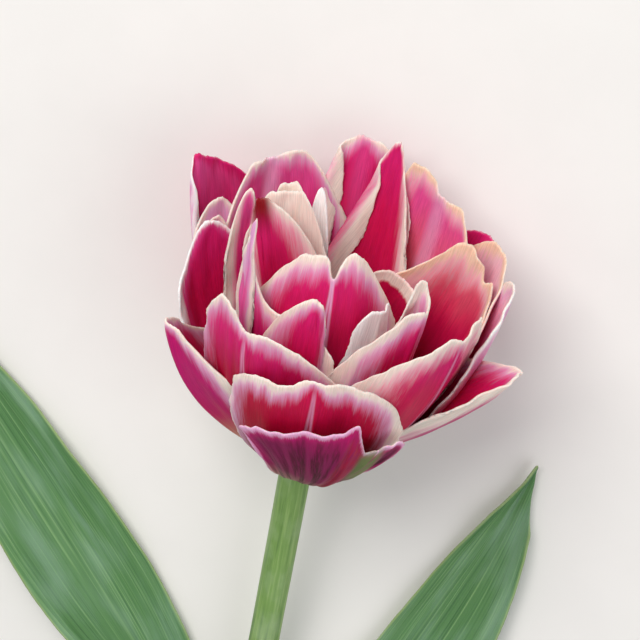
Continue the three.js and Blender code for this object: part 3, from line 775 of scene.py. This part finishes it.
def mark_rib(nodes, colour, at, strength):
    gap = nodes.times(nodes.spread(at.share, 1.0, 0.3), 1.3)
    offset = nodes.math("SUBTRACT", nodes.math("ABSOLUTE", at.across), nodes.math("ADD", gap, 0.15))
    line = nodes.spread(nodes.math("ABSOLUTE", offset), 0.6, 0.05)
    reach = nodes.times(nodes.spread(at.share, 0.2, 0.5), nodes.spread(at.share, 1.02, 0.9))
    return nodes.mix(nodes.times(line, reach, at.outside, 0.7 * strength), colour, "lilac")


def mark_tip(nodes, colour, at, strength):
    middle = nodes.spread(nodes.math("ABSOLUTE", at.across), 5.0, 1.0)
    high = nodes.times(nodes.spread(at.share, 0.84, 0.97), middle)
    return nodes.mix(nodes.times(high, nodes.spread(at.fine, 0.05, 0.35), strength), colour, "red")


MARKS = dict(band=mark_band, dark=mark_dark, flame=mark_flame, rib=mark_rib, tip=mark_tip)
PETAL_FACTS = "fibre along across share tone outside rim deep"


def petal_colour(nodes, look, at):
    """Cream rim, streaked border, vivid body and a dark foot that is partly painted shade, with the petal's
    own marks and a painted highlight at the very rim.
    """
    tone, fine, broad = at.tone, at.fine, at.broad
    streaks = nodes.math("ADD", centred(nodes, fine, 0.8), centred(nodes, broad, 0.7))
    border = nodes.times(nodes.spread(tone, -0.15, 0.35), nodes.spread(tone, 2.2, 0.8, 0.35, 1.0))
    streaked = nodes.math("ADD", tone, nodes.times(streaks, border), clamp=True)
    height = nodes.math("ADD", at.share, centred(nodes, broad, 0.15))
    inner, outer = (face_colour(nodes, streaked, height, look[side]) for side in ("inner", "outer"))
    colour = nodes.mix(at.outside, inner, outer)
    # Towards the foot: the petal's own deeper colour, with painted shade deep in the cup where the foot
    # colour is red
    colour = nodes.mix(nodes.times(at.deep, 0.85), colour, look["foot"])
    for key, mark in MARKS.items():
        if look[key]:
            colour = mark(nodes, colour, at, look[key])
    colour = nodes.shade(colour, nodes.spread(fine, 0.3, 0.7, 0.88, 1.08))
    # Painted highlight: white mixed in along the very rim, where the rounded rim catches light, broken up
    # by noise
    edge = nodes.times(nodes.spread(at.rim, 0.5, 0.1), nodes.spread(broad, 0.3, 0.7), 0.36)
    return nodes.mix(edge, colour, look["edge"])


def petal_material(name, look, seed):
    nodes = Nodes(name)
    at = SimpleNamespace(**dict(zip(PETAL_FACTS.split(), nodes.facts(PETAL_FACTS))))
    at.fine = nodes.fibres(at.fibre, at.along, 0.05, float(seed), 3.4)
    at.broad = nodes.fibres(at.fibre, at.along, 0.12, seed + 40.0, 0.45, 2.0, 0.5)
    nodes.bump(at.fine, 0.25, 0.0003)
    roughness = nodes.spread(at.broad, 0.2, 0.8, 0.46, 0.62)
    colour = petal_colour(nodes, look, at)
    return nodes.finish(colour, roughness, 0.3, (0.0016, 0.0005, 0.0005), specular=0.17)


def petal_blade(name, values):
    shape = {**PLAIN_PETAL, "foot": FEET[name.split("_")[0]], **values}
    turn = math.radians(shape["turn"])
    outward = np.array([math.cos(turn), math.sin(turn), 0])
    sideways = np.array([-math.sin(turn), math.cos(turn), 0])
    lean = (0, 0, shape["sway"] * 0.6, shape["sway"])
    ends = zip([shape["foot"], *shape["rib"]], lean)
    shape["rib_points"] = [outward * r + sideways * x + np.array([0, 0, z]) for (r, z), x in ends]
    shape["sideways"] = sideways
    if not isinstance(shape["top"][0], tuple):
        shape["top"] = list(zip(TOP_PLACES, shape["top"]))
    return shape


def petal_tone(surface, look, margin):
    """0 in the rim's colour and 1 in the body's, at each point."""
    apex_width, blend = 2.6, 5
    share = surface["share"]
    through = look["apex"] * np.exp(-(surface["across"] / apex_width)**2) * grow(share, 0.3, 0.8)
    fade = np.clip(0.3 + share, 0, 1)
    left, right, top = margin
    gaps = [
        surface["to_left"] - left * fade,
        surface["to_right"] - right * fade,
        surface["to_top"] - top * (1 - through),
    ]
    feather = look["feather"] * (1 - 0.7 * through)
    tones = np.clip(np.stack(gaps) / feather, -0.5, 3)
    return -np.log(np.exp(-blend * tones).sum(0)) / blend


def build_petals(to_row):
    for number, (name, values) in enumerate(PETALS.items()):
        look = {**PLAIN_LOOK, **LOOKS[name]}
        blade = petal_blade(name, values)
        rows, columns = GRIDS["small" if blade["small"] else "petal"]
        seed = SEEDS["petal"] + SEED_STEP * number
        surface = blade_surface(blade, crowded_along(rows), crowded_across(columns), seed)
        inner, outer = thickened(surface, blade, PETAL_THICKNESS, PETAL_FOOT_THICKNESS)
        facts = {key: surface[key] for key in ("rim", "across", "fibre", "along", "share")}
        facts["tone"] = petal_tone(surface, look, look["margin"])
        under = dict(tone=petal_tone(surface, look, look.get("outer_margin", look["margin"])))
        # How strongly the foot's colour shows low in the petal: its own deeper tint, and painted shade in
        # the cup
        facts["deep"] = np.clip(1.1 - surface["share"] * 2.4, 0, 1)
        node = "petal_" + name
        mesh = shell_mesh(node, to_row(inner), to_row(outer), facts, under)
        add_piece(node, mesh, petal_material(node, look, number))


# Leaves: rolled round the stem at the base, flat further out
def leaf_material():
    nodes = Nodes("leaf")
    fibre, along, outside, rim, share = nodes.facts("fibre along outside rim share")
    veins = nodes.fibres(fibre, along, 0.012, 3.0, 1.4)
    clouds = nodes.fibres(fibre, along, 0.3, 9.0, 0.12, 3.0, 0.5)
    above = nodes.ramp(veins, (0.25, "3f6a3c"), (0.5, "57834f"), (0.75, "7ba26a"))
    below = nodes.ramp(veins, (0.25, "6b8f62"), (0.75, "93b184"))
    colour = nodes.mix(outside, above, below)
    colour = nodes.mix(nodes.spread(clouds, 0.4, 0.75, 0.0, 0.4), colour, "8fae9a")
    colour = nodes.mix(nodes.spread(share, 0.2, 0.0, 0.0, 0.65), colour, "b7c793")
    colour = nodes.mix(nodes.spread(rim, 0.8, 0.1, 0.0, 0.5), colour, "a9b97a")
    nodes.bump(veins, 0.4, 0.0004)
    roughness = nodes.spread(clouds, 0.3, 0.7, 0.42, 0.6)
    return nodes.finish(colour, roughness, 0.12, (0.0004, 0.0009, 0.0002), specular=0.4)


def leaf_blade(values, stem):
    foot, heading, _ = rib_curve(stem, np.array([values["base"]]))
    foot = foot[0] + np.array([values["flank"] * SHEATH_RADIUS, 0, 0])
    ahead = foot - heading[0] * LEAF_AHEAD
    upper, lower = values["upper"], values["lower"]
    half = (lower, upper) if values["flank"] < 0 else (upper, lower)
    return dict(
        PLAIN_LEAF, rib_points=[foot, ahead, values["low"], values["tip"]], half=half,
        side=[width / upper for width in half], roll=[-values["flank"] * angle for angle in LEAF_ROLL],
        sideways=np.array([-1.0, 0.0, 0.0]),
    )


def build_leaves(stem, to_place):
    material = leaf_material()
    rows, columns = GRIDS["leaf"]
    for number, (node, values) in enumerate(LEAVES.items()):
        blade = leaf_blade(values, stem)
        seed = SEEDS["leaf"] + SEED_STEP * number
        surface = blade_surface(blade, crowded_along(rows), crowded_across(columns), seed)
        inner, outer = thickened(surface, blade, LEAF_THICKNESS, LEAF_THICKNESS)
        facts = {key: surface[key] for key in ("rim", "fibre", "along", "share")}
        mesh = shell_mesh(node, to_place(inner), to_place(outer), facts, {})
        add_piece(node, mesh, material)


# Stem, from the receptacle to a clean cut
def stem_axis(origin):
    """The control points of the stem's axis, in a frame whose x = y = 0 lies under the flower's origin."""
    tilt = math.radians(HEAD_TILT)
    axis = np.array([0, math.cos(tilt), math.sin(tilt)])
    start = np.array([0, 0, origin[2] / MM]) + axis * RECEPTACLE["z"]
    return [start, start - axis * STEM_NECK, STEM_REST, STEM_END]


def round_material(name, low, middle, high, bloom):
    """A fleshy green with lengthwise streaks, for the stem and the parts at the flower's heart."""
    nodes = Nodes(name)
    x, y, along = nodes.facts("ring_x ring_y along")
    streaks = nodes.noise(nodes.vector(x, y, nodes.times(along, 0.04)), 1.1, roughness=0.6)
    clouds = nodes.noise(nodes.vector(x, y, nodes.times(along, 0.5)), 0.16)
    colour = nodes.ramp(streaks, (0.28, low), (0.5, middle), (0.72, high))
    colour = nodes.mix(nodes.spread(clouds, 0.42, 0.7, 0.0, 0.45), colour, bloom)
    return nodes, colour, streaks, clouds


def stem_material():
    nodes, colour, streaks, clouds = round_material("stem", "5c8040", "789a52", "93b06a", "a3b890")
    x, y, cut, radial = nodes.facts("ring_x ring_y cut radial")
    pith = nodes.ramp(radial, (0.0, "dfe6b8"), (0.62, "cddb9c"), (0.9, "9dbb6a"))
    cells = nodes.new("TexVoronoi", nodes.vector(x, y, 0.0))
    nodes.put(cells.inputs["Scale"], 1.3)
    bundles = nodes.spread(cells.outputs["Distance"], 0.3, 0.12, 0.0, 0.6)
    colour = nodes.mix(cut, colour, nodes.mix(bundles, pith, "7f9f52"))
    nodes.bump(streaks, 0.35, 0.0004)
    roughness = nodes.spread(clouds, 0.3, 0.7, 0.4, 0.55)
    return nodes.finish(colour, roughness, 0.1, (0.0006, 0.001, 0.0003), specular=0.4)


def build_stem(stem, to_place):
    count, around = GRIDS["stem"]
    whole = rib_curve(stem, np.zeros(1))[2]
    share = np.linspace(STEM_START / whole, 1, count)
    centre, heading, _ = rib_curve(stem, share)
    across = unit(np.cross(heading, np.array([0, 0, 1.0])))
    up = np.cross(heading, across)
    angle = np.linspace(0, 2 * math.pi, around, endpoint=False)
    ridges = sum(depth * (np.cos(number * angle + start) - 1) for number, depth, start in STEM_RIDGES)
    swell = 1 + STEM_SWELL[0] * wobble(SEEDS["stem"], share * whole, STEM_SWELL[1])
    radius = (STEM_RADIUS + ridges[None, :]) * swell[:, None]
    face = np.array(CUT_RINGS)
    hollow = face[::-1]
    rows = np.concatenate([np.zeros(len(hollow), int), np.arange(count), np.full(len(face), count - 1)])
    fractions = np.concatenate([hollow, np.ones(count), face])
    lift = np.concatenate([STEM_HOLLOW * (1 - hollow**2), np.zeros(count), STEM_DOME * (1 - face**2)])
    cut = np.concatenate([np.zeros(len(hollow) + count), np.ones(len(face))])
    reach = radius[rows] * fractions[:, None]
    x, y = reach * np.cos(angle), reach * np.sin(angle)
    rings = (
        centre[rows][:, None] + heading[rows][:, None] * lift[:, None, None]
        + x[..., None] * across[rows][:, None] + y[..., None] * up[rows][:, None]
    )
    facts = dict(ring_x=x, ring_y=y)
    for key, values in dict(along=share[rows] * whole, radial=fractions, cut=cut).items():
        facts[key] = np.repeat(values[:, None], around, 1)
    add_piece("stem", ring_mesh("stem", to_place(rings), facts), stem_material())


# The receptacle, and the organs at the flower's heart
def turned_rings(profile, grid, lobes):
    """Rings about +Z through a profile of (radius, height, depth of the lobes)."""
    rows, around = grid
    t = np.linspace(0, 1, rows)
    radius, height, depth = (even_curve(values, t)[:, None] for values in zip(*profile))
    angle = np.linspace(0, 2 * math.pi, around, endpoint=False)[None, :]
    reach = np.maximum(radius, 0.02) * (1 - depth * (0.5 - 0.5 * np.cos(lobes * angle)))
    x = reach * np.cos(angle)
    y = reach * np.sin(angle)
    z = np.repeat(height, around, 1)
    return np.stack([x, y, z], -1), dict(ring_x=x, ring_y=y, along=z)


def build_receptacle(to_row):
    radius, half_height, z = RECEPTACLE.values()
    angles = np.radians(np.linspace(-88, 88, 15))
    profile = [(radius * math.cos(a), z + half_height * math.sin(a), 0.06) for a in angles]
    rings, facts = turned_rings(profile, GRIDS["receptacle"], 6)
    nodes, colour, streaks, _ = round_material("receptacle", "93a85a", "aebd74", "c6cf92", "d5d9ae")
    nodes.bump(streaks, 0.5, 0.0004)
    material = nodes.finish(colour, 0.5, 0.1, (0.0006, 0.001, 0.0003))
    add_piece("receptacle", ring_mesh("receptacle", to_row(rings), facts), material)


def build_pistil(to_row):
    radius, height, base, stigma = PISTIL.values()
    ovary = [
        (0.7, 0.07, 0), (0.92, 0.14, 0.05), (1, 0.3, 0.1), (0.97, 0.45, 0.12), (0.92, 0.6, 0.12),
        (0.84, 0.74, 0.12), (0.7, 0.84, 0.15),
    ]
    crown = [(0.95, 0.9, 0.45), (1, 0.935, 0.5), (0.9, 0.975, 0.5), (0.6, 0.99, 0.45), (0.2, 0.975, 0.2)]
    profile = [(radius * r, base + height * z, depth) for r, z, depth in ovary]
    profile += [(stigma * r, base + height * z, depth) for r, z, depth in crown]
    rings, facts = turned_rings(profile, GRIDS["pistil"], 3)
    nodes, colour, streaks, _ = round_material("pistil", "93a655", "b3c074", "ccd393", "d8dcb0")
    x, y, along = nodes.facts("ring_x ring_y along")
    frilled = nodes.spread(along, base + height * 0.86, base + height * 0.93)
    colour = nodes.mix(frilled, colour, "efe6b0")
    nodes.bump(nodes.math("ADD", streaks, nodes.noise(nodes.vector(x, y, along), 2.5)), 0.5, 0.0004)
    material = nodes.finish(colour, 0.5, 0.15, (0.0008, 0.001, 0.0004))
    add_piece("pistil", ring_mesh("pistil", to_row(rings), facts), material)


def stamen_material():
    nodes = Nodes("stamen")
    x, y, along = nodes.facts("ring_x ring_y along")
    grain = nodes.noise(nodes.vector(x, y, along), 3.0, roughness=0.6)
    filament = nodes.ramp(grain, (0.3, "dfe0b0"), (0.7, "f0ecd0"))
    anther = nodes.ramp(grain, (0.3, "33202c"), (0.55, "5a3a3f"), (0.75, "a5824a"))
    start = STAMEN["length"] - STAMEN["anther_length"]
    colour = nodes.mix(nodes.spread(along, start, start + 0.8), filament, anther)
    nodes.bump(grain, 0.5, 0.0003)
    return nodes.finish(colour, 0.7, 0.05, (0.0005, 0.0005, 0.0003))


def build_stamens(to_row):
    length, filament, anther = STAMEN["length"], STAMEN["filament"], STAMEN["anther"]
    start = length - STAMEN["anther_length"]
    profile = [
        (filament * 0.9, 0.3, 0), (filament, start * 0.35, 0), (filament * 0.85, start * 0.7, 0),
        (filament * 0.6, start * 0.96, 0), (anther * 0.85, start + 0.9, 0.3), (anther, start + 3, 0.35),
        (anther, length - 3.5, 0.35), (anther * 0.85, length - 1.3, 0.3), (anther * 0.3, length - 0.1, 0),
    ]
    rings, facts = turned_rings(profile, GRIDS["stamen"], 2)
    lean = np.array(Matrix.Rotation(-math.radians(STAMEN["lean"]), 3, "X"))
    material = stamen_material()
    for index in range(STAMEN["count"]):
        turn = 2 * math.pi * index / STAMEN["count"] + math.pi / 6
        spin = np.array(Matrix.Rotation(turn, 3, "Z"))
        points = (rings @ lean.T + np.array([0, STAMEN["ring"], 0])) @ spin.T
        node = "stamen_" + str(index + 1)
        add_piece(node, ring_mesh(node, to_row(points), facts), material)


def flower_place():
    """The flower's origin in the row frame, and its tilt, found from the receptacle's box."""
    low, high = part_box("receptacle")
    turn = Matrix.Rotation(math.radians(HEAD_TILT - 90), 3, "X")
    middle = (Vector(low) + Vector(high)) / 2
    return middle - turn @ Vector((0, 0, RECEPTACLE["z"] * MM)), turn


def build_camera(origin, turn):
    lift = Matrix.Rotation(math.radians(90 - CAMERA_RISE), 3, "X")
    axes = lift @ Matrix.Rotation(math.radians(CAMERA_ROLL), 3, "Z")
    place = origin + turn @ ((Vector(CAMERA_AIM) + axes.col[2] * CAMERA_DISTANCE) * MM)
    camera = put_in_scene("camera", bpy.data.cameras.new("camera"))
    camera.data.sensor_width = SENSOR_WIDTH
    camera.data.lens = PIXELS_PER_MM * CAMERA_DISTANCE / PICTURE_WIDTH * SENSOR_WIDTH
    camera.matrix_world = Matrix.Translation(place) @ (turn @ axes).to_4x4()
    bpy.context.scene.camera = camera


def build_floor():
    corners = [(FLOOR_HALF * x, FLOOR_HALF * y, 0) for x, y in ((-1, -1), (1, -1), (1, 1), (-1, 1))]
    mesh = bpy.data.meshes.new("floor")
    mesh.from_pydata(corners, [], [(0, 1, 2, 3)])
    floor = put_in_scene("floor", mesh)
    nodes = Nodes("floor")
    grain = nodes.noise(nodes.new("TexCoord").outputs["Object"], 40.0)
    colour = nodes.ramp(grain, (0.3, "edeae6"), (0.7, "efece8"))
    floor.data.materials.append(nodes.finish(colour, 0.8, 0.0, (0.001, 0.001, 0.001)))


def build_lights(origin):
    for name, values in LIGHTS.items():
        light = put_in_scene(name, bpy.data.lights.new(name, "AREA"))
        light.data.size = values["size"]
        light.data.energy = values["power"]
        light.data.color = values["colour"]
        light.location = origin + Vector(values["place"])
        light.rotation_mode = "QUATERNION"
        light.rotation_quaternion = (-Vector(values["place"])).to_track_quat("-Z", "Y")
    world = bpy.data.worlds.new("studio")
    bpy.context.scene.world = world
    world.use_nodes = True
    sky = world.node_tree.nodes["Background"].inputs
    sky["Color"].default_value = SKY["colour"]
    sky["Strength"].default_value = SKY["strength"]
    bpy.context.scene.view_settings.view_transform = "Standard"


def main():
    origin, turn = flower_place()
    turn_array = np.array(turn)
    origin_array = np.array(origin)

    def to_row(points):
        return points @ turn_array.T * MM + origin_array

    def to_place(points):
        placed = points * MM + origin_array * (1, 1, 0)
        placed[..., 2] = np.maximum(placed[..., 2], LOWEST * MM)
        return placed

    stem = stem_axis(origin_array)
    build_camera(origin, turn)
    build_petals(to_row)
    build_receptacle(to_row)
    build_pistil(to_row)
    build_stamens(to_row)
    build_stem(stem, to_place)
    build_leaves(stem, to_place)
    build_floor()
    build_lights(origin)


main()
